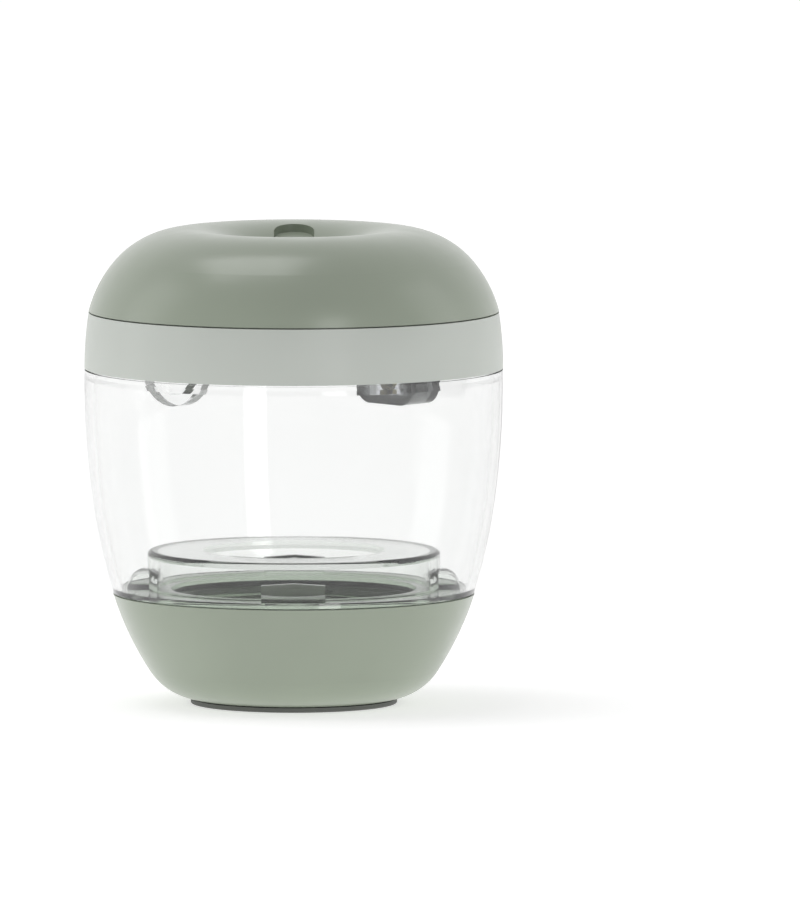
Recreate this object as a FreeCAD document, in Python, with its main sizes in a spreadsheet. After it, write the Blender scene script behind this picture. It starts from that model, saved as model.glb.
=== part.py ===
import FreeCAD, Part
import os
import re
from math import atan2, hypot, sqrt

import Sketcher

# A cordless UV-C steriliser: a round base, a clear vessel with a threaded neck collar, and a head with
# the lamp. Millimetres, +Z up, the origin on the floor under the centre, and -Y is the front.

SIZES = {
    # heights over the floor of the outer shape and its seams
    "foot_height": 1.0,
    "base_knee_height": 6.85,
    "base_seam_height": 23.3,
    "waist_height": 42.4,
    "band_height": 12.0,
    "dome_height": 17.4,
    "shoulder_drop": 6.7,
    "overall_height": 100.0,
    # radii of the outer shape at those heights, and how far a knot lies inside the one beside it
    "foot_inset": 10.8,
    "knee_inset": 7.7,
    "waist_radius": 42.3,
    "belly_radius": 44.0,
    "dome_seam_inset": 0.9,
    "shoulder_inset": 5.6,
    "crest_radius": 22.7,
    "dish_depth": 8.5,
    "dish_bend_radius": 14.6,
    # radii of the section's arcs
    "vessel_side_radius": 118.0,
    "vessel_inner_low_radius": 116.0,
    "vessel_inner_high_radius": 208.0,
    "dome_inner_side_radius": 26.0,
    # walls and clearances
    "seam_gap": 0.3,
    "shell_wall": 2.0,
    "vessel_wall": 2.0,
    "rebate_step": 0.4,
    "floor_wall": 2.4,
    "inner_knee_lift": 1.55,
    "fit_gap": 0.05,
    "running_gap": 0.3,
    # foot ring
    "foot_land": 0.5,
    "foot_ring_width": 5.0,
    "foot_ring_depth": 1.0,
    "foot_ring_bevel": 0.3,
    "foot_lip_reach": 2.2,
    # bayonet between the base and the neck collar
    "skirt_radius": 28.2,
    "skirt_depth": 8.1,
    "lug_reach": 4.0,
    "lug_height": 3.0,
    "lug_lift": 0.3,
    "lug_span": 30.0,
    "lip_height": 2.1,
    "lip_span": 50.0,
    "stop_span": 13.0,
    "seal_width": 2.6,
    "seal_height": 1.4,
    # neck collar
    "flange_thickness": 1.2,
    "collar_step": 2.6,
    "collar_wall": 2.2,
    "collar_height": 9.1,
    "collar_top_thickness": 1.6,
    "collar_hole_radius": 19.1,
    "collar_bend": 1.0,
    "skirt_wall": 2.4,
    "thread_lift": 0.6,
    "thread_root_height": 1.8,
    "thread_crest_height": 0.5,
    "thread_depth": 1.1,
    "thread_pitch": 3.5,
    "thread_turns": 1.5,
    "boss_half_width": 6.6,
    "boss_height": 3.8,
    "boss_reach": 4.2,
    "boss_taper": 4.0,
    # mouth of the vessel inside the band
    "mouth_step": 0.1,
    "mouth_wall": 1.3,
    "mouth_height": 4.6,
    # head
    "band_wall": 1.8,
    "deck_thickness": 2.0,
    "deck_gap": 0.5,
    "spigot_wall": 1.7,
    "spigot_height": 3.5,
    "spigot_gap": 0.4,
    "gasket_width": 1.3,
    "gasket_height": 1.4,
    "gasket_squeeze": 0.3,
    "gasket_crown": 0.35,
    "dome_lip_height": 1.35,
    "dome_lip_wall": 0.9,
    "post_inset": 4.5,
    "post_radius": 2.6,
    "post_height": 2.7,
    "screw_inset": 8.9,
    "screw_azimuth": 10.0,
    "screw_boss_radius": 2.8,
    "screw_boss_height": 9.3,
    "rib_thickness": 1.5,
    "rib_height": 2.6,
    "screw_radius": 1.0,
    "screw_head_radius": 2.0,
    "screw_head_height": 0.9,
    "screw_length": 5.0,
    "screw_hole_depth": 4.0,
    # lamp pod, with its face towards the axis
    "pod_azimuth": 45.0,
    "pod_clearance": 6.5,
    "pod_depth": 8.2,
    "pod_width": 17.0,
    "pod_height": 14.7,
    "pod_corner_radius": 4.0,
    "pod_wall": 1.4,
    "window_width": 11.0,
    "window_height": 6.4,
    "window_sill": 2.1,
    "window_corner": 0.8,
    "window_thickness": 1.0,
    "window_set_back": 0.2,
    "lamp_board_thickness": 1.1,
    "lamp_width": 3.5,
    "lamp_thickness": 1.2,
    "lens_radius": 1.26,
    "lens_height": 0.3,
    "reflector_radius": 2.6,
    "reflector_wall": 1.0,
    # light guide, across the vessel from the pod
    "guide_azimuth": 225.0,
    "guide_clearance": 6.2,
    "guide_depth": 3.4,
    "guide_radius": 8.6,
    "guide_hole_radius": 6.2,
    "guide_drop": 2.15,
    "status_led_width": 3.0,
    "status_led_depth": 2.0,
    "status_led_height": 1.0,
    # main board and battery
    "board_clearance": 1.7,
    "board_thickness": 1.2,
    "battery_length": 32.0,
    "battery_width": 11.0,
    "battery_height": 8.5,
    "battery_clearance": 10.5,
    "battery_corner": 2.0,
    "battery_pad_length": 22.0,
    "battery_pad_width": 9.0,
    "battery_pad_thickness": 1.0,
    # things on the band
    "button_azimuth": 115.0,
    "button_width": 7.0,
    "button_height": 2.4,
    "button_set_back": 0.05,
    "button_travel": 0.6,
    "button_rim": 0.4,
    "button_rim_depth": 0.7,
    "switch_width": 4.5,
    "switch_height": 3.0,
    "switch_depth": 1.8,
    "plunger_radius": 0.9,
    "plunger_length": 0.7,
    "upstand_thickness": 1.6,
    "upstand_margin": 1.0,
    "socket_azimuth": 80.0,
    "socket_width": 8.94,
    "socket_height": 3.2,
    "socket_depth": 6.8,
    "socket_wall": 0.4,
    "tongue_thickness": 0.7,
    "magnet_azimuth": 180.0,
    "magnet_width": 4.0,
    "magnet_height": 3.2,
    "magnet_thickness": 0.8,
    "sensor_width": 3.0,
    "sensor_depth": 1.5,
    "sensor_height": 1.6,
    # lanyard anchor in the dish
    "anchor_width": 8.4,
    "anchor_near": 4.4,
    "anchor_far": 18.0,
    "anchor_sink": 1.6,
    "anchor_thickness": 3.0,
    "anchor_slot_width": 0.9,
    "anchor_bridge_width": 3.4,
    "anchor_slot_margin": 3.4,
    "anchor_bridge_thickness": 1.4,
}

doc = FreeCAD.newDocument("Steriliser")
sheet = doc.addObject("Spreadsheet::Sheet", "Sizes")
for row, (alias, size) in enumerate(SIZES.items(), start=1):
    sheet.set(f"A{row}", alias)
    sheet.set(f"B{row}", str(size))
    sheet.setAlias(f"B{row}", alias)
doc.recompute()

pieces = []


def cells(text):
    """The expression with each size's name written as a cell of the sheet."""
    return re.sub(r"[a-z_]+", lambda word: ("Sizes." if word[0] in SIZES else "") + word[0], text)


def value(text):
    return float(sheet.evalExpression(cells(text)))


def new_body(label):
    body = doc.addObject("PartDesign::Body", label)
    body.Label = label
    pieces.append(body)
    return body


def origin_feature(body, role):
    return next(item for item in body.Origin.OriginFeatures if item.Role == role)


def new_sketch(body, plane, lift="0", along="0"):
    """A sketch on one of the body's origin planes, lifted along its normal and moved along its x."""
    sketch = body.newObject("Sketcher::SketchObject", body.Label + "_outline")
    sketch.AttachmentSupport = [(origin_feature(body, plane), "")]
    sketch.MapMode = "FlatFace"
    sketch.setExpression("AttachmentOffset.Base.z", cells(lift))
    sketch.setExpression("AttachmentOffset.Base.x", cells(along))
    return sketch


def pin(sketch, geometry, end, x, y):
    """Holds a point of the sketch at an expression in x and one in y, or leaves one that is None."""
    for kind, axis, text in (("DistanceX", -2, x), ("DistanceY", -1, y)):
        if text is None:
            continue
        if text == "0":
            sketch.addConstraint(Sketcher.Constraint("PointOnObject", geometry, end, axis))
            continue
        held = Sketcher.Constraint(kind, -1, 1, geometry, end, value(text))
        sketch.setExpression(f"Constraints[{sketch.addConstraint(held)}]", cells(text))


def arc_centre(kind, a, b, radius, heading):
    """The centre of the arc from a to b: level and plumb leave a that way, smooth leaves it as heading."""
    dx, dy = b[0] - a[0], b[1] - a[1]
    chord = hypot(dx, dy)
    if kind == "level":
        return a[0], a[1] + chord**2 / (2 * dy)
    if kind == "plumb":
        return a[0] + chord**2 / (2 * dx), a[1]
    if kind == "smooth":
        side = heading[0] * dy - heading[1] * dx
        reach = chord**2 / (2 * side)
        return a[0] - heading[1] * reach, a[1] + heading[0] * reach
    off = sqrt(max(radius**2 - chord**2 / 4, 0)) * (1 if radius > 0 else -1) / chord
    return (a[0] + b[0]) / 2 - dy * off, (a[1] + b[1]) / 2 + dx * off


def draw(sketch, outline):
    """Draws a closed outline. Each corner is (x, y) before a straight edge, or (x, y, kind) before an
    arc of kind level, plumb or smooth, or (x, y, "arc", radius), with a radius over 0 turning left."""
    points = [(value(corner[0]), value(corner[1])) for corner in outline]
    ends, heading = [], (1.0, 0.0)
    for index, corner in enumerate(outline):
        a, b = points[index], points[(index + 1) % len(points)]
        if len(corner) == 2:
            line = Part.LineSegment(FreeCAD.Vector(*a, 0), FreeCAD.Vector(*b, 0))
            ends.append((sketch.addGeometry(line), 1, 2))
            length = hypot(b[0] - a[0], b[1] - a[1])
            heading = ((b[0] - a[0]) / length, (b[1] - a[1]) / length)
            continue
        radius = value(corner[3]) if len(corner) > 3 else 0
        centre = arc_centre(corner[2], a, b, radius, heading)
        start, stop = (atan2(p[1] - centre[1], p[0] - centre[0]) for p in (a, b))
        reach = hypot(a[0] - centre[0], a[1] - centre[1])
        turn = (a[0] - centre[0]) * (b[1] - centre[1]) - (a[1] - centre[1]) * (b[0] - centre[0])
        circle = Part.Circle(FreeCAD.Vector(*centre, 0), FreeCAD.Vector(0, 0, 1), reach)
        span = (start, stop) if turn > 0 else (stop, start)
        near, far = (1, 2) if turn > 0 else (2, 1)
        ends.append((sketch.addGeometry(Part.ArcOfCircle(circle, *span)), near, far))
        side = 1 if turn > 0 else -1
        heading = (-side * (b[1] - centre[1]) / reach, side * (b[0] - centre[0]) / reach)
    for index, corner in enumerate(outline):
        geometry, near, _ = ends[index]
        before, _, far = ends[index - 1]
        joined = "Tangent" if len(corner) > 2 and corner[2] == "smooth" else "Coincident"
        sketch.addConstraint(Sketcher.Constraint(joined, before, far, geometry, near))
    for index, corner in enumerate(outline):
        geometry, near, _ = ends[index]
        pin(sketch, geometry, near, corner[0], corner[1])
        kind = corner[2] if len(corner) > 2 else "line"
        if kind == "level":
            pin(sketch, geometry, 3, corner[0], None)
        elif kind == "plumb":
            pin(sketch, geometry, 3, None, corner[1])
        elif kind == "arc":
            held = Sketcher.Constraint("Radius", geometry, abs(value(corner[3])))
            sketch.setExpression(f"Constraints[{sketch.addConstraint(held)}]", cells(f"abs({corner[3]})"))


def draw_circle(sketch, radius, x="0", y="0"):
    centre = FreeCAD.Vector(value(x), value(y), 0)
    circle = sketch.addGeometry(Part.Circle(centre, FreeCAD.Vector(0, 0, 1), value(radius)))
    pin(sketch, circle, 3, x, y)
    held = Sketcher.Constraint("Radius", circle, value(radius))
    sketch.setExpression(f"Constraints[{sketch.addConstraint(held)}]", cells(radius))


def box_outline(x_low, x_high, y_low, y_high):
    return [(x_low, y_low), (x_high, y_low), (x_high, y_high), (x_low, y_high)]


def rounded_outline(half_width, low, high, corner):
    """A rectangle about x = 0 with all four corners rounded."""
    wide, inner = f"({half_width})", f"(({half_width}) - ({corner}))"
    return [
        (f"-{inner}", low),
        (inner, low, "level"),
        (wide, f"({low}) + ({corner})"),
        (wide, f"({high}) - ({corner})", "plumb"),
        (inner, high),
        (f"-{inner}", high, "level"),
        (f"-{wide}", f"({high}) - ({corner})"),
        (f"-{wide}", f"({low}) + ({corner})", "plumb"),
    ]


def feature(body, kind, sketch, **expressions):
    made = body.newObject("PartDesign::" + kind, body.Label + "_" + kind)
    made.Profile = sketch
    sketch.Visibility = False
    for name, text in expressions.items():
        made.setExpression(name, cells(text))
    body.Tip = made
    return made


def turned(body, outline, plane="XZ_Plane", kind="Revolution", axis="V_Axis", along="0"):
    """Revolves an outline drawn as radius and height round the upright axis through the sketch's zero."""
    sketch = new_sketch(body, plane, along=along)
    draw(sketch, outline)
    made = feature(body, kind, sketch)
    made.ReferenceAxis = (sketch, [axis])
    made.Angle = 360
    return made


def slab(body, plane, outlines, start, thickness, kind="Pad"):
    """Pads, or pockets, outlines from start to start + thickness along the plane's normal."""
    sketch = new_sketch(body, plane, lift=start)
    for outline in outlines:
        draw(sketch, outline)
    made = feature(body, kind, sketch, Length=thickness)
    made.Reversed = kind == "Pocket"
    return made


def discs(body, radius, start, thickness, x="0", y="0", plane="XY_Plane", kind="Pad"):
    sketch = new_sketch(body, plane, lift=start)
    draw_circle(sketch, radius, x, y)
    made = feature(body, kind, sketch, Length=thickness)
    made.Reversed = kind == "Pocket"
    return made


def repeated(body, originals, count):
    """Repeats features round the upright axis."""
    pattern = body.newObject("PartDesign::PolarPattern", body.Label + "_repeat")
    pattern.Originals = originals
    pattern.Axis = (origin_feature(body, "Z_Axis"), [""])
    pattern.Angle = 360
    pattern.Occurrences = count
    body.Tip = pattern
    return pattern


def polar(radius, angle):
    return f"({radius}) * cos(({angle}) * 1deg)", f"({radius}) * sin(({angle}) * 1deg)"


def sector(body, inner, outer, start, thickness, first, span):
    """An annular sector from the angle first over span degrees, from start up by thickness."""
    sketch = new_sketch(body, "XY_Plane", lift=start)
    last = f"({first}) + ({span})"
    outline = [
        polar(inner, first),
        (*polar(outer, first), "arc", outer),
        polar(outer, last),
        (*polar(inner, last), "arc", f"-({inner})"),
    ]
    draw(sketch, outline)
    return feature(body, "Pad", sketch, Length=thickness)


def place(piece, azimuth="0"):
    """Turns a piece drawn along +X round the upright axis to its azimuth."""
    piece.Placement = FreeCAD.Placement(FreeCAD.Vector(), FreeCAD.Rotation(FreeCAD.Vector(0, 0, 1), 1))
    piece.setExpression("Placement.Rotation.Angle", cells(azimuth))


# heights worked out from the driving sizes
DOME_SEAM = "overall_height - dome_height"
BAND_SEAM = f"{DOME_SEAM} - band_height"
BASE_RIM = "base_seam_height - seam_gap / 2"
VESSEL_FOOT = "base_seam_height + seam_gap / 2"
VESSEL_TOP = f"{BAND_SEAM} - seam_gap / 2"
BAND_FOOT = f"{BAND_SEAM} + seam_gap / 2"
BAND_TOP = f"{DOME_SEAM} - seam_gap / 2"
DOME_FOOT = f"{DOME_SEAM} + seam_gap / 2"
BASE_FLOOR = "foot_height + floor_wall"
SEAL_LEDGE = f"{BASE_RIM} - seal_height - fit_gap"
SKIRT_FOOT = f"{VESSEL_FOOT} - skirt_depth"
LUG_FOOT = f"{SKIRT_FOOT} + lug_lift"
LUG_TOP = f"{LUG_FOOT} + lug_height"
FLANGE_TOP = f"{VESSEL_FOOT} + flange_thickness"
COLLAR_TOP = f"{VESSEL_FOOT} + collar_height"
MOUTH_TOP = f"{VESSEL_TOP} + mouth_height"
MAGNET_FOOT = f"{VESSEL_TOP} + 2 * running_gap"
DECK_FOOT = f"{MOUTH_TOP} + deck_gap"
DECK_TOP = f"{DECK_FOOT} + deck_thickness"
BOARD_FOOT = f"{DECK_TOP} + post_height"
BOARD_TOP = f"{BOARD_FOOT} + board_thickness"
PORT_HEIGHT = f"{DECK_TOP} + socket_height / 2"
POD_FOOT = f"{DECK_FOOT} - pod_height"
GASKET_FOOT = f"{DECK_FOOT} - (spigot_height + gasket_height) / 2"
LAMP_HEIGHT = f"{POD_FOOT} + window_sill + window_height / 2"
THREAD_FOOT = f"{SKIRT_FOOT} + thread_lift"
BOSS_FOOT = f"{DECK_TOP} + fit_gap"
DISH_FLOOR = "overall_height - dish_depth"
BELOW_DISH = f"{DISH_FLOOR} - 2 * anchor_thickness - shell_wall"
THROUGH_DISH = "2 * (dish_depth + 2 * anchor_thickness + shell_wall)"

# radii worked out from the driving sizes
LUG_RADIUS = "skirt_radius + lug_reach"
SOCKET_RADIUS = f"{LUG_RADIUS} + 2 * running_gap"
LIP_RADIUS = "skirt_radius + 2 * running_gap"
SEAL_OUTER = f"{SOCKET_RADIUS} + 2 * running_gap + seal_width"
BASE_SEAM = f"{SEAL_OUTER} + shell_wall"
KNEE_RADIUS = f"{BASE_SEAM} - knee_inset"
FLANGE_RADIUS = f"{BASE_SEAM} - vessel_wall / 2"
FOOT_EDGE = f"{KNEE_RADIUS} - foot_inset"
FOOT_RING_OUTER = f"{FOOT_EDGE} - foot_land"
FOOT_RING_INNER = f"{FOOT_RING_OUTER} - foot_ring_width"
THREAD_WALL = "skirt_radius - skirt_wall"
COLLAR_RADIUS = "skirt_radius + collar_step"
DOME_SEAM_RADIUS = "belly_radius - dome_seam_inset"
SHOULDER_RADIUS = f"{DOME_SEAM_RADIUS} - shoulder_inset"
BAND_INNER = "belly_radius - vessel_wall"
DOME_LIP = f"{BAND_INNER} - 2 * fit_gap"
MOUTH_RADIUS = f"{BAND_INNER} - mouth_step"
MOUTH_OUTER = f"{MOUTH_RADIUS} + mouth_wall"
SPIGOT_RADIUS = f"{MOUTH_RADIUS} - spigot_gap"
SCREW_CIRCLE = f"{MOUTH_RADIUS} - screw_inset"
BOARD_RADIUS = f"{SCREW_CIRCLE} - screw_boss_radius - board_clearance"
POST_CIRCLE = f"{BOARD_RADIUS} - post_inset"
POD_BACK = f"{MOUTH_RADIUS} - pod_clearance"
POD_FACE = f"{POD_BACK} - pod_depth"
LAMP_BOARD_FACE = f"{POD_BACK} - pod_wall - lamp_board_thickness"
GUIDE_FACE = f"{MOUTH_RADIUS} - guide_clearance - guide_depth"
BATTERY_MIDDLE = f"(battery_clearance + battery_width / 2 - ({SHOULDER_RADIUS}))"
BUTTON_SEAT = f"{BAND_INNER} - 2 * running_gap"
SWITCH_FACE = f"{BUTTON_SEAT} - button_rim_depth - button_travel - fit_gap - plunger_length"


def base_cup():
    """A bowl with a groove for the foot ring, a ledge for the seal and four bayonet lips."""
    body = new_body("base_cup")
    groove = "foot_height + foot_ring_depth"
    turned(
        body,
        [
            ("0", "foot_height"),
            (FOOT_RING_INNER, "foot_height"),
            (FOOT_RING_INNER, groove),
            (FOOT_RING_OUTER, groove),
            (FOOT_RING_OUTER, "foot_height"),
            (FOOT_EDGE, "foot_height", "level"),
            (KNEE_RADIUS, "base_knee_height", "smooth"),
            (BASE_SEAM, BASE_RIM),
            (SEAL_OUTER, BASE_RIM),
            (SEAL_OUTER, SEAL_LEDGE),
            (SOCKET_RADIUS, SEAL_LEDGE),
            (SOCKET_RADIUS, f"{SKIRT_FOOT} - 2 * running_gap"),
            (f"{KNEE_RADIUS} - shell_wall", "base_knee_height + inner_knee_lift"),
            (FOOT_EDGE, BASE_FLOOR),
            ("0", BASE_FLOOR),
        ],
    )
    lip_foot = f"{LUG_TOP} + running_gap"
    into_wall = f"{SOCKET_RADIUS} + shell_wall / 4"
    lip_start = "(90 - lip_span) / 2"
    stop_start = f"{lip_start} + lip_span - stop_span"
    lip = sector(body, LIP_RADIUS, into_wall, lip_foot, "lip_height", lip_start, "lip_span")
    stop = sector(
        body, LIP_RADIUS, into_wall, LUG_FOOT, f"{lip_foot} - ({LUG_FOOT})", stop_start, "stop_span"
    )
    repeated(body, [lip, stop], 4)


def foot_ring():
    """A soft ring in the base's groove, with a lip under the base's rounded edge."""
    body = new_body("foot_ring")
    inner, outer = f"{FOOT_RING_INNER} + fit_gap", f"{FOOT_RING_OUTER} - fit_gap"
    lip, top = f"{FOOT_EDGE} + foot_lip_reach", "foot_height + foot_ring_depth"
    turned(
        body,
        [
            (f"{inner} + foot_ring_bevel", "0"),
            (f"{lip} - foot_ring_bevel", "0", "level"),
            (lip, "foot_ring_bevel"),
            (lip, "foot_height"),
            (outer, "foot_height"),
            (outer, top),
            (inner, top),
            (inner, "foot_ring_bevel", "plumb"),
        ],
    )


def base_seal():
    """A soft ring on the base's ledge, under the collar's flange."""
    body = new_body("base_seal")
    inner = f"{SOCKET_RADIUS} + 2 * running_gap"
    outer = f"{SEAL_OUTER} - running_gap"
    foot = f"{SEAL_LEDGE} + fit_gap"
    turned(body, box_outline(inner, outer, foot, f"{foot} + seal_height"))


def clear_vessel():
    """The transparent wall, with a rebate for the flange and a mouth that stands inside the band."""
    body = new_body("clear_vessel")
    turned(
        body,
        [
            (BASE_SEAM, VESSEL_FOOT, "arc", "vessel_side_radius"),
            ("waist_radius", "waist_height", "smooth"),
            ("belly_radius", VESSEL_TOP),
            (MOUTH_OUTER, VESSEL_TOP),
            (MOUTH_OUTER, MOUTH_TOP),
            (MOUTH_RADIUS, MOUTH_TOP),
            (MOUTH_RADIUS, f"{VESSEL_TOP} - vessel_wall / 2"),
            (BAND_INNER, f"{VESSEL_TOP} - vessel_wall", "arc", "-vessel_inner_high_radius"),
            ("waist_radius - vessel_wall", "waist_height", "arc", "-vessel_inner_low_radius"),
            (f"{BASE_SEAM} - vessel_wall + rebate_step", FLANGE_TOP),
            (f"{FLANGE_RADIUS} + fit_gap", FLANGE_TOP),
            (f"{FLANGE_RADIUS} + fit_gap", VESSEL_FOOT),
        ],
    )
    seat_half = "(magnet_width / 2 + fit_gap)"
    seat_top = f"{MAGNET_FOOT} + magnet_height + fit_gap"
    slab(
        body,
        "YZ_Plane",
        [box_outline(f"-{seat_half}", seat_half, MAGNET_FOOT, seat_top)],
        f"-({MOUTH_OUTER} + magnet_thickness)",
        "2 * magnet_thickness + fit_gap",
        "Pocket",
    )


def interlock_magnet():
    """A small block magnet on the outside of the vessel's mouth, covered by the band."""
    body = new_body("interlock_magnet")
    half = "magnet_width / 2"
    outline = box_outline(f"-{half}", half, MAGNET_FOOT, f"{MAGNET_FOOT} + magnet_height")
    slab(body, "YZ_Plane", [outline], f"{MOUTH_OUTER} - magnet_thickness", "magnet_thickness")
    place(body, "magnet_azimuth")


def neck_collar():
    """The flange, the raised collar that a teat hangs through, and the threaded skirt with its lugs."""
    body = new_body("neck_collar")
    turned(
        body,
        [
            (THREAD_WALL, SKIRT_FOOT),
            ("skirt_radius", SKIRT_FOOT),
            ("skirt_radius", VESSEL_FOOT),
            (FLANGE_RADIUS, VESSEL_FOOT),
            (FLANGE_RADIUS, FLANGE_TOP),
            (COLLAR_RADIUS, FLANGE_TOP),
            (COLLAR_RADIUS, f"{COLLAR_TOP} - collar_bend", "plumb"),
            (f"{COLLAR_RADIUS} - collar_bend", COLLAR_TOP),
            ("collar_hole_radius", COLLAR_TOP),
            ("collar_hole_radius", f"{COLLAR_TOP} - collar_top_thickness"),
            (f"{COLLAR_RADIUS} - collar_wall", f"{COLLAR_TOP} - collar_top_thickness"),
            (f"{COLLAR_RADIUS} - collar_wall", FLANGE_TOP),
            (THREAD_WALL, FLANGE_TOP),
        ],
    )
    lug_root = "skirt_radius - skirt_wall / 8"
    lug = sector(body, lug_root, LUG_RADIUS, LUG_FOOT, "lug_height", "-lug_span / 2", "lug_span")
    boss_root = f"{COLLAR_RADIUS} - collar_wall / 2"
    boss_foot, boss_top = f"{FLANGE_TOP} - flange_thickness / 2", f"{FLANGE_TOP} + boss_height"
    bosses = []
    for backwards in (False, True):
        sketch = new_sketch(body, "XZ_Plane")
        draw(
            sketch,
            [
                (boss_root, boss_foot),
                (f"{COLLAR_RADIUS} + boss_reach", boss_foot),
                (f"{COLLAR_RADIUS} + boss_reach", FLANGE_TOP, "plumb"),
                (f"{COLLAR_RADIUS} + boss_reach / 3", boss_top),
                (boss_root, boss_top),
            ],
        )
        boss = feature(body, "Pad", sketch, Length="boss_half_width", TaperAngle="-boss_taper")
        boss.Reversed = backwards
        bosses.append(boss)
    repeated(body, [lug, *bosses], 4)
    sketch = new_sketch(body, "XZ_Plane")
    root, crest = f"{THREAD_WALL} + skirt_wall / 12", f"{THREAD_WALL} - thread_depth"
    middle = f"{THREAD_FOOT} + thread_root_height / 2"
    draw(
        sketch,
        [
            (root, THREAD_FOOT),
            (root, f"{THREAD_FOOT} + thread_root_height"),
            (crest, f"{middle} + thread_crest_height / 2"),
            (crest, f"{middle} - thread_crest_height / 2"),
        ],
    )
    thread = feature(body, "AdditiveHelix", sketch)
    thread.ReferenceAxis = (sketch, ["V_Axis"])
    thread.Mode = 1
    thread.setExpression("Pitch", cells("thread_pitch"))
    thread.setExpression("Turns", cells("thread_turns"))


def port_outline(half_width, half_height):
    """The outline of the button and of the socket: a slot with nearly round ends, at the ports' height."""
    low, high = f"{PORT_HEIGHT} - {half_height}", f"{PORT_HEIGHT} + {half_height}"
    return rounded_outline(half_width, low, high, f"({half_height}) * 0.9")


def band_port(name, half_width, half_height, azimuth):
    """A tool that cuts a rounded hole through the band at an azimuth."""
    cutter = doc.addObject("PartDesign::Body", name)
    outline = port_outline(half_width, half_height)
    slab(cutter, "YZ_Plane", [outline], f"{BAND_INNER} - band_wall", "4 * band_wall")
    place(cutter, azimuth)
    return cutter


def accent_band():
    """The pale ring between the vessel and the dome, with holes for the button and the socket."""
    ring = new_body("band_ring")
    lip_inner = f"{MOUTH_OUTER} + 2 * fit_gap"
    pieces.remove(ring)
    turned(
        ring,
        [
            (lip_inner, BAND_FOOT),
            ("belly_radius", BAND_FOOT, "plumb"),
            (DOME_SEAM_RADIUS, BAND_TOP),
            (BAND_INNER, BAND_TOP),
            (BAND_INNER, f"{MOUTH_TOP} + running_gap"),
            (lip_inner, f"{MOUTH_TOP} + running_gap"),
        ],
    )
    wide, tall = "(button_width / 2 + 2 * fit_gap)", "(button_height / 2 + 2 * fit_gap)"
    button = band_port("button_port", wide, tall, "button_azimuth")
    wide, tall = "(socket_width / 2 + fit_gap)", "(socket_height / 2 + fit_gap)"
    socket = band_port("socket_port", wide, tall, "socket_azimuth")
    first = doc.addObject("Part::Cut", "band_button_cut")
    first.Base, first.Tool = ring, button
    band = doc.addObject("Part::Cut", "accent_band")
    band.Base, band.Tool = first, socket
    pieces.append(band)


def head_gasket():
    """A soft ring in the spigot's groove that seals and grips the vessel's mouth."""
    body = new_body("head_gasket")
    top = f"{GASKET_FOOT} + gasket_height"
    outer = f"{SPIGOT_RADIUS} + gasket_squeeze"
    turned(
        body,
        [
            (f"{outer} - gasket_width", GASKET_FOOT),
            (f"{outer} - gasket_crown", GASKET_FOOT, "level"),
            (outer, f"{GASKET_FOOT} + gasket_crown"),
            (outer, f"{top} - gasket_crown", "plumb"),
            (f"{outer} - gasket_crown", top),
            (f"{outer} - gasket_width", top),
        ],
    )


def lamp_deck():
    """The plate that closes the vessel, with a spigot below and posts and a switch upstand above."""
    body = new_body("lamp_deck")
    spigot_inner = f"{SPIGOT_RADIUS} - spigot_wall"
    spigot_foot = f"{DECK_FOOT} - spigot_height"
    groove_foot, groove_top = f"{GASKET_FOOT} - fit_gap", f"{GASKET_FOOT} + gasket_height + fit_gap"
    groove = f"{SPIGOT_RADIUS} + gasket_squeeze - gasket_width - fit_gap"
    turned(
        body,
        [
            ("0", DECK_FOOT),
            (spigot_inner, DECK_FOOT),
            (spigot_inner, spigot_foot),
            (SPIGOT_RADIUS, spigot_foot),
            (SPIGOT_RADIUS, groove_foot),
            (groove, groove_foot),
            (groove, groove_top),
            (SPIGOT_RADIUS, groove_top),
            (SPIGOT_RADIUS, DECK_FOOT),
            (f"{BAND_INNER} - fit_gap", DECK_FOOT),
            (f"{BAND_INNER} - fit_gap", DECK_TOP),
            ("0", DECK_TOP),
        ],
    )
    post = discs(body, "post_radius", DECK_TOP, "post_height", x=POST_CIRCLE)
    repeated(body, [post], 3)
    start, depth = f"{BOARD_FOOT} - screw_hole_depth", "screw_hole_depth + fit_gap"
    hole = discs(body, "screw_radius", start, depth, x=POST_CIRCLE, kind="Pocket")
    repeated(body, [hole], 3)
    below = "running_gap"
    bore = ("screw_radius + 2 * fit_gap", f"deck_thickness + 2 * {below}")
    sink = ("screw_head_radius + 2 * fit_gap", f"screw_head_height + {below} + 2 * fit_gap")
    for radius, depth in (bore, sink):
        for turn in (0, 120, 240):
            x, y = polar(SCREW_CIRCLE, f"screw_azimuth + {turn}")
            discs(body, radius, f"{DECK_FOOT} - {below}", depth, x=x, y=y, kind="Pocket")


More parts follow.
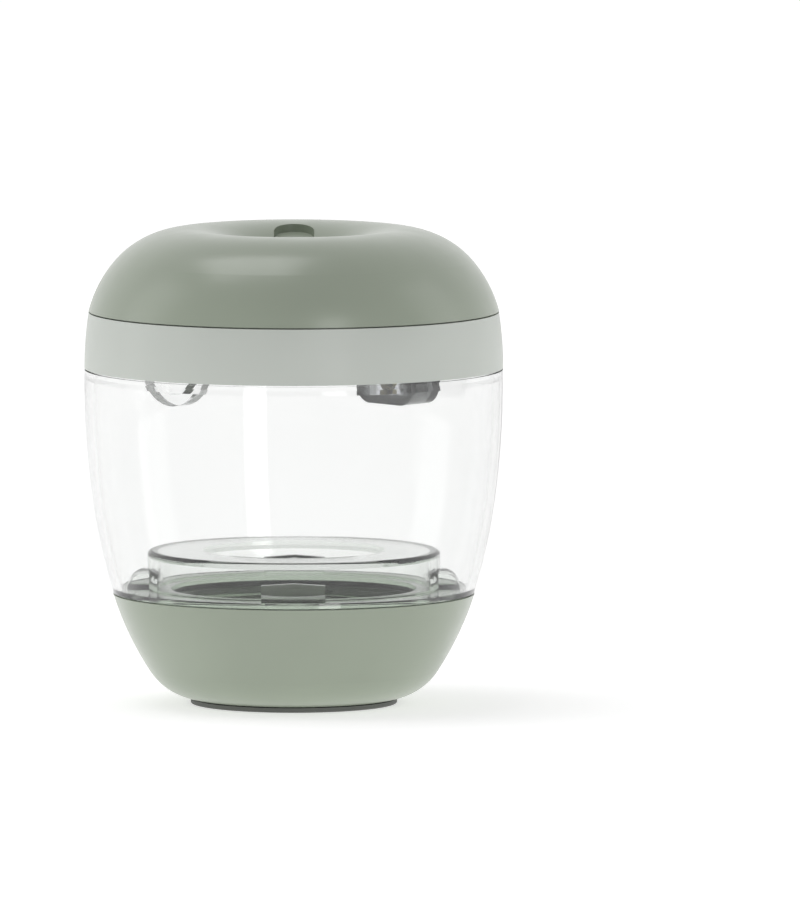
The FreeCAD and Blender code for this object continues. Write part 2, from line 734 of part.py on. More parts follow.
def dome_outline():
    """The dome's section: dish, crest and side, each an arc, then the lip and the same shape inside."""
    top_width = f"({SHOULDER_RADIUS} - crest_radius)"
    top_radius = f"(({top_width}^2 + shoulder_drop^2) / (2 * shoulder_drop))"
    dish_sum = "((crest_radius^2 + dish_depth^2) / (2 * dish_depth))"
    bend_share = f"(dish_bend_radius / {dish_sum})"
    bend_radius = f"(crest_radius * {bend_share})"
    bend_height = f"({DISH_FLOOR} + dish_depth * {bend_share})"
    thick = "((dish_bend_radius + shell_wall) / dish_bend_radius)"
    thin = f"(({top_radius} - shell_wall) / {top_radius})"
    bend_drop = f"((dish_bend_radius - dish_depth * {bend_share}) * {thick})"
    lip_inner = f"{DOME_LIP} - dome_lip_wall"
    lip_foot = f"{DOME_FOOT} - dome_lip_height"
    return [
        ("0", DISH_FLOOR, "level"),
        (bend_radius, bend_height, "smooth"),
        ("crest_radius", "overall_height", "level"),
        (SHOULDER_RADIUS, "overall_height - shoulder_drop", "smooth"),
        (DOME_SEAM_RADIUS, DOME_FOOT),
        (DOME_LIP, DOME_FOOT),
        (DOME_LIP, lip_foot),
        (lip_inner, lip_foot),
        (lip_inner, DOME_FOOT, "arc", "dome_inner_side_radius"),
        (
            f"crest_radius + {top_width} * {thin}",
            f"overall_height - {top_radius} + ({top_radius} - shoulder_drop) * {thin}",
            "arc",
            f"{top_radius} - shell_wall",
        ),
        ("crest_radius", "overall_height - shell_wall", "level"),
        (f"{bend_radius} * {thick}", f"{DISH_FLOOR} + dish_bend_radius - {bend_drop}", "smooth"),
        ("0", f"{DISH_FLOOR} - shell_wall"),
    ]


def anchor_outline(clearance):
    """The arch-ended outline of the lanyard anchor seen from above, running back from the dish."""
    half = f"(anchor_width / 2 + {clearance})"
    round_start = "(anchor_far - anchor_width / 2)"
    return [
        (f"-{half}", f"anchor_near - {clearance}"),
        (half, f"anchor_near - {clearance}"),
        (half, round_start, "plumb"),
        ("0", f"anchor_far + {clearance}", "level"),
        (f"-{half}", round_start),
    ]


def dome_cover():
    """The cap, with a dish in its top, an opening for the lanyard anchor and three screw bosses."""
    body = new_body("dome_cover")
    turned(body, dome_outline())
    boss = discs(body, "screw_boss_radius", BOSS_FOOT, "screw_boss_height", x=SCREW_CIRCLE)
    rib_end = f"{DOME_LIP} - dome_lip_wall / 2"
    rib_outline = box_outline(SCREW_CIRCLE, rib_end, "-rib_thickness / 2", "rib_thickness / 2")
    rib = slab(body, "XY_Plane", [rib_outline], f"{DOME_FOOT} - dome_lip_height / 2", "rib_height")
    repeated(body, [boss, rib], 3)
    start, depth = f"{BOSS_FOOT} - 2 * fit_gap", "screw_length + 2 * fit_gap"
    bore = discs(body, "screw_radius", start, depth, x=SCREW_CIRCLE, kind="Pocket")
    repeated(body, [bore], 3)
    opening = slab(body, "XY_Plane", [anchor_outline("fit_gap")], BELOW_DISH, THROUGH_DISH, "Pocket")
    sketch = opening.Profile[0]
    turned_back = FreeCAD.Rotation(FreeCAD.Vector(0, 0, 1), -1)
    sketch.AttachmentOffset = FreeCAD.Placement(FreeCAD.Vector(), turned_back)
    sketch.setExpression("AttachmentOffset.Base.z", cells(BELOW_DISH))
    sketch.setExpression("AttachmentOffset.Rotation.Angle", cells("-screw_azimuth"))
    place(body, "screw_azimuth")


def lanyard_anchor():
    """An insert in the dish: a bridge between two slots, with a tunnel under it for a cord's loop."""
    body = new_body("lanyard_anchor")
    sunk = [(x, f"{y} - anchor_sink", *kind) for x, y, *kind in dome_outline()[:2]]
    rim, foot = "crest_radius + 1", f"{DISH_FLOOR} - anchor_sink - anchor_thickness"
    crest = "overall_height - anchor_sink"
    turned(body, sunk + [("crest_radius", crest), (rim, crest), (rim, foot), ("0", foot)])
    sketch = new_sketch(body, "XY_Plane", lift=BELOW_DISH)
    draw_circle(sketch, "crest_radius + 3")
    draw(sketch, anchor_outline("0"))
    trimmed = feature(body, "Pocket", sketch, Length=THROUGH_DISH)
    trimmed.Reversed = True
    slot_near, slot_far = "anchor_near + anchor_slot_margin", "anchor_far - anchor_slot_margin"
    slot_inner, slot_outer = "anchor_bridge_width / 2", "(anchor_bridge_width / 2 + anchor_slot_width)"
    slots = [
        box_outline(slot_inner, slot_outer, slot_near, slot_far),
        box_outline(f"-{slot_outer}", f"-{slot_inner}", slot_near, slot_far),
    ]
    slab(body, "XY_Plane", slots, BELOW_DISH, THROUGH_DISH, "Pocket")
    under_bridge = f"{DISH_FLOOR} - anchor_sink - anchor_bridge_thickness"
    tunnel = [
        (slot_near, BELOW_DISH),
        (slot_far, BELOW_DISH),
        (slot_far, f"{under_bridge} + dish_depth * ({slot_far})^2 / crest_radius^2"),
        (slot_near, f"{under_bridge} + dish_depth * ({slot_near})^2 / crest_radius^2"),
    ]
    slab(body, "YZ_Plane", [tunnel], f"-{slot_outer}", f"2 * {slot_outer}", "Pocket")


def pod_outline(inset):
    """The pod's face: square at the deck, with two rounded lower corners."""
    half, foot = f"(pod_width / 2 - {inset})", f"({POD_FOOT} + {inset})"
    corner = f"(pod_corner_radius - {inset} / 2)"
    top = DECK_FOOT
    return [
        (f"-({half} - {corner})", foot),
        (f"{half} - {corner}", foot, "level"),
        (half, f"{foot} + {corner}"),
        (half, top),
        (f"-{half}", top),
        (f"-{half}", f"{foot} + {corner}", "plumb"),
    ]


def window_outline(gap):
    foot = f"{POD_FOOT} + window_sill"
    half, low, high = f"(window_width / 2 - {gap})", f"{foot} + {gap}", f"{foot} + window_height - {gap}"
    return rounded_outline(half, low, high, "window_corner")


def uvc_pod_housing():
    """A thin box under the deck, open at the top, with a window in its face."""
    body = new_body("uvc_pod_housing")
    slab(body, "YZ_Plane", [pod_outline("0")], POD_FACE, "pod_depth")
    inside, pane = pod_outline("pod_wall"), window_outline("0")
    slab(body, "YZ_Plane", [inside], f"{POD_FACE} + pod_wall", "pod_depth - 2 * pod_wall", "Pocket")
    slab(body, "YZ_Plane", [pane], f"{POD_FACE} - pod_wall", "2 * pod_wall + fit_gap", "Pocket")
    place(body, "pod_azimuth")


def uvc_window():
    """The clear pane in the pod's face."""
    body = new_body("uvc_window")
    slab(body, "YZ_Plane", [window_outline("fit_gap")], f"{POD_FACE} + window_set_back", "window_thickness")
    place(body, "pod_azimuth")


def uvc_led_board():
    """The emitter's board, against the pod's back wall."""
    body = new_body("uvc_led_board")
    half = "(pod_width / 2 - pod_wall - pod_corner_radius * 0.4)"
    low, high = f"{POD_FOOT} + pod_wall + pod_corner_radius * 0.3", f"{DECK_FOOT} - 2 * running_gap"
    outline = box_outline(f"-{half}", half, low, high)
    slab(body, "YZ_Plane", [outline], LAMP_BOARD_FACE, "lamp_board_thickness")
    place(body, "pod_azimuth")


def uvc_led():
    """A square emitter with a small lens, face to face with its board."""
    body = new_body("uvc_led")
    half = "lamp_width / 2"
    outline = box_outline(f"-{half}", half, f"{LAMP_HEIGHT} - {half}", f"{LAMP_HEIGHT} + {half}")
    slab(body, "YZ_Plane", [outline], f"{LAMP_BOARD_FACE} - lamp_thickness", "lamp_thickness")
    tip = f"{LAMP_BOARD_FACE} - lamp_thickness - lens_height"
    discs(body, "lens_radius", tip, "lens_height + fit_gap", y=LAMP_HEIGHT, plane="YZ_Plane")
    place(body, "pod_azimuth")


def uvc_reflector():
    """A bright tube round the emitter, from its board to the window."""
    body = new_body("uvc_reflector")
    mouth = f"{POD_FACE} + pod_wall + fit_gap"
    length = f"({LAMP_BOARD_FACE} - ({mouth}))"
    outer, inner = "reflector_radius + reflector_wall", "reflector_radius"
    discs(body, outer, mouth, length, y=LAMP_HEIGHT, plane="YZ_Plane")
    start, through = f"{mouth} - fit_gap", f"{length} + 2 * fit_gap"
    discs(body, inner, start, through, y=LAMP_HEIGHT, plane="YZ_Plane", kind="Pocket")
    place(body, "pod_azimuth")


def status_light_ring():
    """A clear arch that hangs from the deck and carries the lamp's signal light round its rim."""
    body = new_body("status_light_ring")
    centre = f"({DECK_FOOT} - guide_drop)"
    arch = [
        ("guide_hole_radius", DECK_FOOT),
        ("guide_hole_radius", centre, "plumb"),
        ("0", f"{centre} - guide_hole_radius", "level"),
        ("-guide_hole_radius", centre),
        ("-guide_hole_radius", DECK_FOOT),
        ("-guide_radius", DECK_FOOT),
        ("-guide_radius", centre, "plumb"),
        ("0", f"{centre} - guide_radius", "level"),
        ("guide_radius", centre),
        ("guide_radius", DECK_FOOT),
    ]
    slab(body, "YZ_Plane", [arch], GUIDE_FACE, "guide_depth")
    place(body, "guide_azimuth")


def status_led():
    """The signal light on the deck, in the arch."""
    body = new_body("status_led")
    near = f"{GUIDE_FACE} + (guide_depth - status_led_depth) / 2"
    half = "status_led_width / 2"
    outline = box_outline(near, f"{near} + status_led_depth", f"-{half}", half)
    slab(body, "XY_Plane", [outline], f"{DECK_FOOT} - status_led_height", "status_led_height")
    place(body, "guide_azimuth")


def main_board():
    """The round board on the deck's posts."""
    body = new_body("main_board")
    discs(body, BOARD_RADIUS, BOARD_FOOT, "board_thickness")
    through, start = "3 * board_thickness", f"{BOARD_FOOT} - board_thickness"
    hole = discs(body, "screw_radius + 2 * fit_gap", start, through, x=POST_CIRCLE, kind="Pocket")
    repeated(body, [hole], 3)


# each block's name, its centre as a share of the board's radius, and its width, length and height
BOARD_BLOCKS = (
    ("controller", 0.14, -0.28, 7.0, 7.0, 1.2),
    ("charger", 0.07, 0.28, 4.0, 4.0, 1.0),
    ("coil", 0.46, -0.53, 5.0, 5.0, 3.0),
    ("battery_plug", -0.14, 0.63, 5.0, 4.0, 3.0),
    ("lamp_plug", 0.53, 0.46, 5.0, 4.0, 3.0),
    ("driver", 0.56, 0.07, 5.0, 6.0, 1.4),
)


def board_components():
    """The chips, coil and plug on the main board, each a block, as one set."""
    blocks = []
    for name, x, y, width, length, height in BOARD_BLOCKS:
        block = doc.addObject("Part::Box", name)
        block.Length, block.Width, block.Height = width, length, height
        block.setExpression("Placement.Base.x", cells(f"({BOARD_RADIUS}) * {x} - {width / 2}"))
        block.setExpression("Placement.Base.y", cells(f"({BOARD_RADIUS}) * {y} - {length / 2}"))
        block.setExpression("Placement.Base.z", cells(BOARD_TOP))
        blocks.append(block)
    together = doc.addObject("Part::Compound", "board_components")
    together.Links = blocks
    pieces.append(together)


def battery_pad():
    """The sticky pad between the board and the cell."""
    body = new_body("battery_pad")
    low, high = f"{BATTERY_MIDDLE} - battery_pad_width / 2", f"{BATTERY_MIDDLE} + battery_pad_width / 2"
    outline = box_outline(low, high, "-battery_pad_length / 2", "battery_pad_length / 2")
    slab(body, "XY_Plane", [outline], BOARD_TOP, "battery_pad_thickness")


def battery_cell():
    """A cell that lies beside the dish on its pad, with rounded long edges."""
    body = new_body("battery_cell")
    foot = f"{BOARD_TOP} + battery_pad_thickness"
    outline = rounded_outline("battery_width / 2", foot, f"{foot} + battery_height", "battery_corner")
    sketch = new_sketch(body, "XZ_Plane", lift="-battery_length / 2", along=BATTERY_MIDDLE)
    draw(sketch, outline)
    feature(body, "Pad", sketch, Length="battery_length")


def usb_socket():
    """A hollow metal shell with a tongue, its mouth just inside the band's port."""
    body = new_body("usb_socket")
    mouth = f"{BAND_INNER} + band_wall * 0.3"
    wide, tall = "(socket_width / 2)", "(socket_height / 2)"
    slab(body, "YZ_Plane", [port_outline(wide, tall)], f"{mouth} - socket_depth", "socket_depth")
    wide, tall = "(socket_width / 2 - socket_wall)", "(socket_height / 2 - socket_wall)"
    back = f"{mouth} - socket_depth"
    inside = port_outline(wide, tall)
    slab(body, "YZ_Plane", [inside], f"{back} + 2 * socket_wall", "socket_depth", "Pocket")
    half, thin = "(socket_width / 2 - 3 * socket_wall)", "(tongue_thickness / 2)"
    tongue = box_outline(f"-{half}", half, f"{PORT_HEIGHT} - {thin}", f"{PORT_HEIGHT} + {thin}")
    slab(body, "YZ_Plane", [tongue], f"{back} + socket_wall", "socket_depth - 3 * socket_wall")
    place(body, "socket_azimuth")


def power_button():
    """A rounded key through the band, with a rim inside that keeps it from falling out."""
    body = new_body("power_button")
    wide = "(button_width / 2 + button_rim + 4 * fit_gap)"
    tall = "(button_height / 2 + button_rim - 2 * fit_gap)"
    rim = port_outline(wide, tall)
    slab(body, "YZ_Plane", [rim], f"{BUTTON_SEAT} - button_rim_depth", "button_rim_depth")
    key, stand = port_outline("(button_width / 2)", "(button_height / 2)"), "belly_radius - button_set_back"
    slab(body, "YZ_Plane", [key], f"{BUTTON_SEAT} - 2 * fit_gap", f"{stand} - ({BUTTON_SEAT}) + 2 * fit_gap")
    place(body, "button_azimuth")


def tact_switch():
    """The switch behind the button, on the deck's upstand."""
    body = new_body("tact_switch")
    half = "switch_width / 2"
    low, high = f"{PORT_HEIGHT} - switch_height / 2", f"{PORT_HEIGHT} + switch_height / 2"
    outline = box_outline(f"-{half}", half, low, high)
    slab(body, "YZ_Plane", [outline], f"{SWITCH_FACE} - switch_depth", "switch_depth")
    start, length = f"{SWITCH_FACE} - fit_gap", "plunger_length + fit_gap"
    discs(body, "plunger_radius", start, length, y=PORT_HEIGHT, plane="YZ_Plane")
    place(body, "button_azimuth")


def switch_bracket():
    """The small upright plate on the deck that backs the switch."""
    body = new_body("switch_bracket")
    half = "(switch_width / 2 + upstand_margin)"
    high = f"{PORT_HEIGHT} + switch_height / 2 + upstand_margin / 2"
    back = f"{SWITCH_FACE} - switch_depth - upstand_thickness"
    slab(body, "YZ_Plane", [box_outline(f"-{half}", half, DECK_TOP, high)], back, "upstand_thickness")
    place(body, "button_azimuth")


def hall_sensor():
    """The sensor on the deck over the magnet, which tells that the vessel is on."""
    body = new_body("hall_sensor")
    outer = f"({MOUTH_RADIUS} - running_gap)"
    outline = box_outline(f"{outer} - sensor_depth", outer, "-sensor_width / 2", "sensor_width / 2")
    slab(body, "XY_Plane", [outline], DECK_TOP, "sensor_height")
    place(body, "magnet_azimuth")


def screws(label, circle, count, head_foot, head_height, shank_foot, shank_length, azimuth="0"):
    """A ring of identical screws, each a head disc on a plain shank."""
    body = new_body(label)
    head = discs(body, "screw_head_radius", head_foot, head_height, x=circle)
    shank = discs(body, "screw_radius - fit_gap", shank_foot, shank_length, x=circle)
    repeated(body, [head, shank], count)
    place(body, azimuth)


def board_screws():
    length = "screw_hole_depth"
    into = f"{length} + fit_gap"
    screws("board_screws", POST_CIRCLE, 3, BOARD_TOP, "screw_head_height", f"{BOARD_TOP} - {length}", into)


def deck_screws():
    head, shank = f"{DECK_FOOT} + fit_gap", f"{DECK_FOOT} + screw_head_height / 2"
    length = "(screw_length + deck_thickness / 2)"
    screws("deck_screws", SCREW_CIRCLE, 3, head, "screw_head_height", shank, length, "screw_azimuth")


def finish():
    """Recomputes, tests every object and writes each piece to its own file."""
    doc.recompute()
    failed = [item.Label for item in doc.Objects if {"Invalid", "Error"} & set(item.State)]
    bad = [item.Label for item in pieces if item.Shape.isNull() or not item.Shape.isValid()]
    if failed or bad:
        raise RuntimeError(f"failed objects {failed}, bad shapes {bad}")
    os.makedirs("parts", exist_ok=True)
    for piece in pieces:
        piece.Shape.exportStep(f"parts/{piece.Label}.step")
        print(f"{piece.Label}: {len(piece.Shape.Solids)} solids, {piece.Shape.Volume:.1f} mm3")


base_cup()
foot_ring()
base_seal()
clear_vessel()
interlock_magnet()
neck_collar()
accent_band()
lamp_deck()
head_gasket()
dome_cover()
lanyard_anchor()
uvc_pod_housing()
uvc_window()
uvc_led_board()
uvc_led()
uvc_reflector()
status_light_ring()
status_led()
main_board()
board_components()
board_screws()
deck_screws()
battery_pad()
battery_cell()
usb_socket()
power_button()
tact_switch()
switch_bracket()
hall_sensor()
finish()
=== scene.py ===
from math import cos, radians, sin

import bpy
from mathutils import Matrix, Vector


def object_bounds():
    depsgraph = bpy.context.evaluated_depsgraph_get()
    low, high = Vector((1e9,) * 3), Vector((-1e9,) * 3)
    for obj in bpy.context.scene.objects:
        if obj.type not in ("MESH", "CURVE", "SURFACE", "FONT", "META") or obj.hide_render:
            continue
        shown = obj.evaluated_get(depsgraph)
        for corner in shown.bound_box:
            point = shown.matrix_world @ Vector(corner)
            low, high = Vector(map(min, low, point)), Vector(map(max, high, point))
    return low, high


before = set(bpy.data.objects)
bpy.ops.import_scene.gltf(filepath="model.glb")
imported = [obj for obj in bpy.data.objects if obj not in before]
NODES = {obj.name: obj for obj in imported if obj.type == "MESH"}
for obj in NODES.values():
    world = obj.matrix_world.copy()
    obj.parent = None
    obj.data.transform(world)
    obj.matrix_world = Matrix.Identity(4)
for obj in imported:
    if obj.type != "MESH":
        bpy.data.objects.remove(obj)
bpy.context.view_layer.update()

LOW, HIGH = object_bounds()
HEIGHT = HIGH[2] - LOW[2]

# Colours are linear. The opaque plastics are grey-greens, and the clear ones are almost colourless.
# A depth colour is what a clear plastic absorbs towards, and a flange top is a height in metres.
OLIVE = (0.286, 0.326, 0.258)
PALE_GREEN = (0.515, 0.545, 0.505)
WHITE = (0.84, 0.85, 0.84)
GREY_DEPTH = (0.5, 0.51, 0.505)
GREEN_DEPTH = (0.40, 0.472, 0.39)
# Below the collar's flange top the clear plastic is tinted green over a short blend: painted shade and a
# painted refraction of the green base beneath.
COLLAR_FLANGE_TOP = 0.0249
PAINTED_SEAM_BLEND = 0.0002


# ---- node trees ----


def new_material(name):
    """A node material with its Principled shader and output; returns the material, its node tree and the
    shader.
    """
    material = bpy.data.materials.new(name)
    material.use_nodes = True
    tree = material.node_tree
    shader = tree.nodes["Principled BSDF"]
    return material, tree, shader


def add(tree, kind, **settings):
    """Adds a node. A setting is an input's name with _ for a space, or a property of the node."""
    node = tree.nodes.new(kind)
    for name, value in settings.items():
        label = name.replace("_", " ")
        if label in node.inputs:
            node.inputs[label].default_value = value
        else:
            setattr(node, name, value)
    return node


def link(tree, source, output, target, socket):
    tree.links.new(source.outputs[output], target.inputs[socket])


def object_noise(tree, scale, detail=3.0, roughness=0.55):
    """Noise in the object's own coordinates, which are metres."""
    where = add(tree, "ShaderNodeTexCoord")
    noise = add(tree, "ShaderNodeTexNoise", Scale=scale, Detail=detail, Roughness=roughness)
    link(tree, where, "Object", noise, "Vector")
    return noise


def ramp(tree, source, low, high, start=0.35, stop=0.65, output="Fac"):
    """Maps an output from start..stop to values or colours between low and high."""
    made = add(tree, "ShaderNodeValToRGB")
    for stop_point, position, colour in zip(made.color_ramp.elements, (start, stop), (low, high)):
        stop_point.position = position
        shade = colour if isinstance(colour, tuple) else (colour,) * 3
        stop_point.color = (*shade, 1)
    link(tree, source, output, made, "Fac")
    return made


def between(tree, source, output, low, high, start=0.0, stop=1.0):
    """Maps an output from start..stop to low..high."""
    made = add(tree, "ShaderNodeMapRange")
    for name, value in (("From Min", start), ("From Max", stop), ("To Min", low), ("To Max", high)):
        made.inputs[name].default_value = value
    link(tree, source, output, made, "Value")
    return made


def bump(tree, shader, noise, height, strength=1.0):
    made = add(tree, "ShaderNodeBump", Strength=strength, Distance=height)
    link(tree, noise, "Fac", made, "Height")
    link(tree, made, "Normal", shader, "Normal")
    return made


def scaled(colour, factor):
    return tuple(min(channel * factor, 1) for channel in colour)


def moulded(
    name, colour, roughness, grain=0.5e-5, variation=0.03, coat=0.0, coat_roughness=0.2, gloss_level=0.5
):
    """Opaque moulded plastic: slight flow marks in the colour, a fine spark-eroded grain and uneven gloss."""
    material, tree, shader = new_material(name)
    flow = object_noise(tree, 28.0, detail=2.0)
    tint = ramp(tree, flow, scaled(colour, 1 - variation), scaled(colour, 1 + variation))
    link(tree, tint, "Color", shader, "Base Color")
    gloss = object_noise(tree, 160.0, detail=4.0)
    rough = ramp(tree, gloss, roughness - 0.025, roughness + 0.025)
    link(tree, rough, "Color", shader, "Roughness")
    bump(tree, shader, object_noise(tree, 5200.0, detail=2.0), grain, strength=0.6)
    shader.inputs["IOR"].default_value = 1.5
    shader.inputs["Specular IOR Level"].default_value = gloss_level
    shader.inputs["Coat Weight"].default_value = coat
    shader.inputs["Coat Roughness"].default_value = coat_roughness
    return material


def clear(
    name, tint, density, depth_colour=GREY_DEPTH, ior=1.49, roughness=0.015, waviness=2e-6, shade_share=0.1,
    painted_seam_tint=None,
):
    """Clear plastic that lets lamps through, darker the longer the way through it, with faint waves.

    The last argument is a colour and the height below which the plastic takes it: painted shade and a painted
    refraction of the green base beneath the flange."""
    material, tree, shader = new_material(name)
    shader.inputs["Base Color"].default_value = (*tint, 1)
    # Below the given height the plastic takes the given colour: painted shade and a painted refraction of the
    # green base beneath.
    if painted_seam_tint:
        painted_seam_colour, painted_seam_top = painted_seam_tint
        where = add(tree, "ShaderNodeTexCoord")
        parts = add(tree, "ShaderNodeSeparateXYZ")
        link(tree, where, "Object", parts, "Vector")
        height = between(tree, parts, "Z", 0.0, 1.0, painted_seam_top, painted_seam_top + PAINTED_SEAM_BLEND)
        painted_seam_hue = ramp(tree, height, painted_seam_colour, tint, 0.0, 1.0, "Result")
        link(tree, painted_seam_hue, "Color", shader, "Base Color")
    shader.inputs["Transmission Weight"].default_value = 1.0
    shader.inputs["IOR"].default_value = ior
    gloss = object_noise(tree, 60.0, detail=3.0)
    rough = ramp(tree, gloss, roughness, roughness * 2.2)
    link(tree, rough, "Color", shader, "Roughness")
    bump(tree, shader, object_noise(tree, 45.0, detail=2.0), waviness)
    passed = (1 - shade_share,) * 3
    open_way = add(tree, "ShaderNodeBsdfTransparent", Color=(*passed, 1))
    path = add(tree, "ShaderNodeLightPath")
    mix = add(tree, "ShaderNodeMixShader")
    link(tree, path, "Is Shadow Ray", mix, "Fac")
    tree.links.new(shader.outputs["BSDF"], mix.inputs[1])
    tree.links.new(open_way.outputs["BSDF"], mix.inputs[2])
    output = tree.nodes["Material Output"]
    tree.links.new(mix.outputs["Shader"], output.inputs["Surface"])
    depth = add(tree, "ShaderNodeVolumeAbsorption", Color=(*depth_colour, 1), Density=density)
    tree.links.new(depth.outputs["Volume"], output.inputs["Volume"])
    return material


def metal(name, colour, roughness):
    """Plated or turned metal with fine streaks."""
    material, tree, shader = new_material(name)
    streaks = object_noise(tree, 700.0, detail=4.0)
    tint = ramp(tree, streaks, scaled(colour, 0.9), colour)
    link(tree, tint, "Color", shader, "Base Color")
    rough = ramp(tree, streaks, roughness * 0.8, roughness * 1.3)
    link(tree, rough, "Color", shader, "Roughness")
    shader.inputs["Metallic"].default_value = 1.0
    bump(tree, shader, streaks, 4e-6)
    return material


MATERIALS = {
    "olive": moulded("olive_plastic", OLIVE, 0.3, coat=0.35, coat_roughness=0.22, gloss_level=0.36),
    "pale": moulded("pale_plastic", PALE_GREEN, 0.42, coat=0.1, coat_roughness=0.34, gloss_level=0.4),
    "white": moulded("white_plastic", WHITE, 0.4),
    "black": moulded("black_plastic", (0.02, 0.02, 0.022), 0.45),
    "rubber": moulded("foot_rubber", (0.13, 0.135, 0.126), 0.75, grain=2e-5),
    "silicone": moulded("milky_silicone", (0.5, 0.53, 0.5), 0.5, grain=1e-5),
    "seal": moulded("dark_seal_rubber", (0.045, 0.055, 0.042), 0.5, grain=1e-5),
    "board": moulded("solder_mask", (0.02, 0.13, 0.05), 0.3, coat=0.4),
    "mask": moulded("white_solder_mask", (0.75, 0.76, 0.74), 0.35),
    "ceramic": moulded("lamp_ceramic", (0.78, 0.7, 0.42), 0.3),
    "wrap": moulded("cell_wrap", (0.05, 0.14, 0.35), 0.25, coat=0.5),
    "vessel": clear("clear_vessel_plastic", (0.985, 0.988, 0.985), 62.0),
    # The collar's green below its flange top is painted shade and a painted refraction of the green base
    # beneath.
    "collar": clear("clear_collar_plastic", (0.99, 0.995, 0.99), 30.0, GREEN_DEPTH, ior=1.22, roughness=0.02,
                    painted_seam_tint=((0.54, 0.61, 0.52), COLLAR_FLANGE_TOP)),
    "guide": clear("clear_guide_plastic", (0.98, 0.98, 0.98), 20.0, ior=1.2, roughness=0.02),
    "smoke": clear("smoked_plastic", (0.5, 0.51, 0.51), 550.0, roughness=0.03, shade_share=0.7),
    "quartz": clear("quartz_window", (0.97, 0.98, 0.99), 20.0, ior=1.46),
    "steel": metal("bright_steel", (0.72, 0.72, 0.73), 0.25),
    "mirror": metal("reflector_metal", (0.55, 0.55, 0.56), 0.12),
}

FINISH = {
    "base_cup": "olive",
    "dome_cover": "olive",
    "lanyard_anchor": "olive",
    "accent_band": "pale",
    "power_button": "pale",
    "foot_ring": "rubber",
    "base_seal": "seal",
    "head_gasket": "silicone",
    "clear_vessel": "vessel",
    "neck_collar": "collar",
    "status_light_ring": "guide",
    "uvc_pod_housing": "smoke",
    "uvc_window": "quartz",
    "uvc_reflector": "mirror",
    "uvc_led_board": "mask",
    "uvc_led": "ceramic",
    "status_led": "ceramic",
    "lamp_deck": "white",
    "main_board": "board",
    "switch_bracket": "board",
    "board_components": "black",
    "tact_switch": "black",
    "hall_sensor": "black",
    "battery_cell": "wrap",
    "battery_pad": "rubber",
    "board_screws": "steel",
    "deck_screws": "steel",
    "usb_socket": "steel",
    "interlock_magnet": "steel",
}

for name, node in NODES.items():
    node.data.materials.clear()
    node.data.materials.append(MATERIALS[FINISH[name]])
    for face in node.data.polygons:
        face.material_index = 0


# ---- stage, lamps and camera ----

# light of the surround on the object from the front and the sides
FRONT_LIGHT, SIDE_LIGHT = 0.19, 0.63
# the floor's own light: as the camera sees it near the object and far off, and as the object sees it
NEAR_GLOW, FAR_GLOW, FLOOR_BOUNCE = 0.53, 0.65, 0.84
NEAR_FLOOR, FAR_FLOOR = 0.15, 0.9


def floor_material():
    """A white floor that keeps the shadow: its own light makes up what the lamps leave to white."""
    material, tree, shader = new_material("floor_white")
    grain = object_noise(tree, 3.0)
    tint = ramp(tree, grain, (0.715, 0.715, 0.715), (0.725, 0.725, 0.725))
    link(tree, tint, "Color", shader, "Base Color")
    shader.inputs["Roughness"].default_value = 0.9
    shader.inputs["Specular IOR Level"].default_value = 0.0
    glow = add(tree, "ShaderNodeEmission", Color=(1, 1, 1, 1))
    where = add(tree, "ShaderNodeTexCoord")
    away = add(tree, "ShaderNodeVectorMath", operation="LENGTH")
    link(tree, where, "Object", away, "Vector")
    own = between(tree, away, "Value", NEAR_GLOW, FAR_GLOW, NEAR_FLOOR, FAR_FLOOR)
    mix = add(tree, "ShaderNodeMix", data_type="FLOAT")
    link(tree, seen_directly(tree), "Result", mix, "Factor")
    mix.inputs[2].default_value = FLOOR_BOUNCE
    tree.links.new(own.outputs["Result"], mix.inputs[3])
    tree.links.new(mix.outputs[0], glow.inputs["Strength"])
    both = add(tree, "ShaderNodeAddShader")
    tree.links.new(shader.outputs["BSDF"], both.inputs[0])
    tree.links.new(glow.outputs["Emission"], both.inputs[1])
    tree.links.new(both.outputs["Shader"], tree.nodes["Material Output"].inputs["Surface"])
    return material


def seen_directly(tree):
    """1 on rays that the camera sends, straight, by a mirror or through glass, and 0 on the rest."""
    path = add(tree, "ShaderNodeLightPath")
    total = path.outputs["Is Camera Ray"]
    for name in ("Is Glossy Ray", "Is Transmission Ray"):
        most = add(tree, "ShaderNodeMath", operation="MAXIMUM")
        tree.links.new(total, most.inputs[0])
        tree.links.new(path.outputs[name], most.inputs[1])
        total = most.outputs[0]
    scale = add(tree, "ShaderNodeMapRange")
    tree.links.new(total, scale.inputs["Value"])
    return scale


def make_floor(half_side=20.0):
    mesh = bpy.data.meshes.new("floor")
    near, far = -half_side, half_side
    corners = [(near, near), (far, near), (far, far), (near, far)]
    mesh.from_pydata([(x, y, 0.0) for x, y in corners], [], [(0, 1, 2, 3)])
    floor = bpy.data.objects.new("floor", mesh)
    bpy.context.scene.collection.objects.link(floor)
    mesh.materials.append(floor_material())


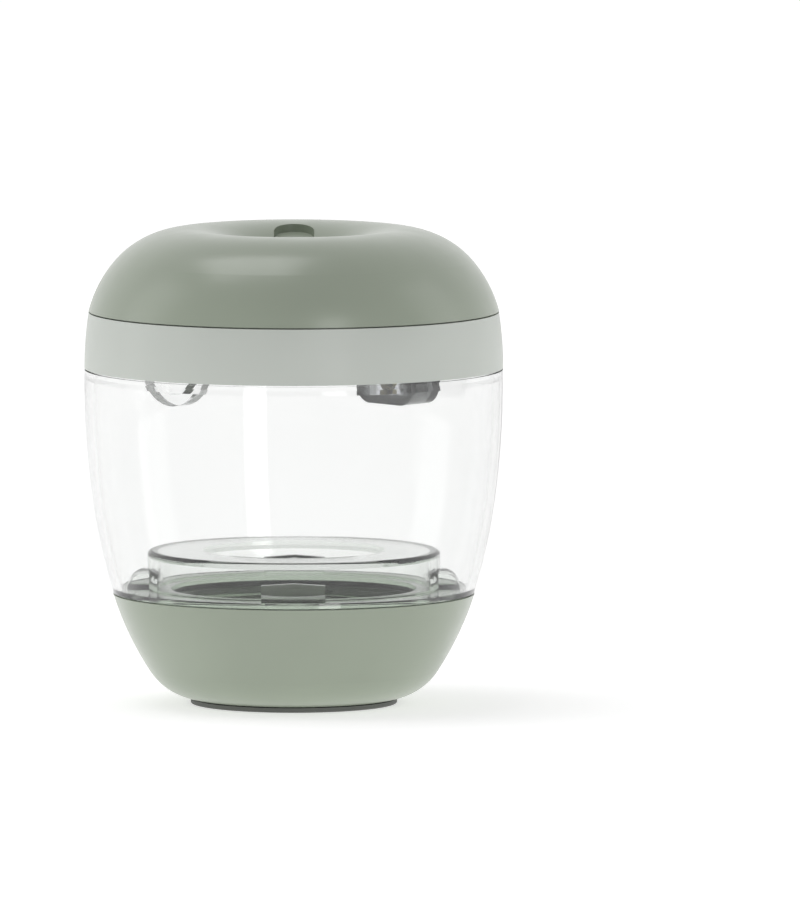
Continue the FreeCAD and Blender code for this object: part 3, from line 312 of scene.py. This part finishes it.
def make_world():
    """A plain white surround. Its light on the object is dimmer, and dimmest from the front."""
    world = bpy.data.worlds.new("studio")
    bpy.context.scene.world = world
    world.use_nodes = True
    tree = world.node_tree
    background = tree.nodes["Background"]
    background.inputs["Color"].default_value = (1, 1, 1, 1)
    where = add(tree, "ShaderNodeTexCoord")
    parts = add(tree, "ShaderNodeSeparateXYZ")
    link(tree, where, "Generated", parts, "Vector")
    light = between(tree, parts, "Y", FRONT_LIGHT, SIDE_LIGHT, -0.95, 0.2)
    seen = seen_directly(tree)
    mix = add(tree, "ShaderNodeMix", data_type="FLOAT")
    link(tree, seen, "Result", mix, "Factor")
    tree.links.new(light.outputs["Result"], mix.inputs[2])
    mix.inputs[3].default_value = 1.0
    tree.links.new(mix.outputs[0], background.inputs["Strength"])


def make_lamp(name, place, aim, width, height, watts, lights=True):
    """A soft box. One that lights nothing only shows as a reflection."""
    lamp = bpy.data.lights.new(name, "AREA")
    lamp.shape = "RECTANGLE"
    lamp.size, lamp.size_y = width, height
    lamp.energy = watts
    holder = bpy.data.objects.new(name, lamp)
    holder.location = place
    holder.rotation_euler = (Vector(aim) - Vector(place)).to_track_quat("-Z", "Y").to_euler()
    holder.visible_diffuse = lights
    bpy.context.scene.collection.objects.link(holder)


def make_camera():
    """A long lens a little above the object's middle, with the object left of the picture's centre."""
    elevation, distance, lens = radians(5.3), 5.0, 952.0
    aim = Vector((0.0223, 0.0, 0.0533))
    camera = bpy.data.cameras.new("camera")
    camera.lens, camera.sensor_width = lens, 36.0
    camera.clip_start, camera.clip_end = 0.1, 100.0
    holder = bpy.data.objects.new("camera", camera)
    holder.location = aim + distance * Vector((0, -cos(elevation), sin(elevation)))
    holder.rotation_euler = (aim - holder.location).to_track_quat("-Z", "Y").to_euler()
    bpy.context.scene.collection.objects.link(holder)
    bpy.context.scene.camera = holder


make_floor()
make_world()
MIDDLE = (0, 0, HEIGHT / 2)
make_lamp("left_box", (-1.0, 0.1, 0.45), MIDDLE, 0.5, 0.9, 1.25)
make_lamp("right_box", (1.0, 0.1, 0.45), MIDDLE, 0.5, 0.9, 1.0)
make_lamp("top_box", (-0.25, 0.05, 1.08), MIDDLE, 0.6, 0.6, 3.3)
make_lamp("front_box", (0.48, -1.12, 0.36), MIDDLE, 0.3, 0.8, 3.0, lights=False)
make_camera()

scene = bpy.context.scene
scene.view_settings.view_transform = "Standard"
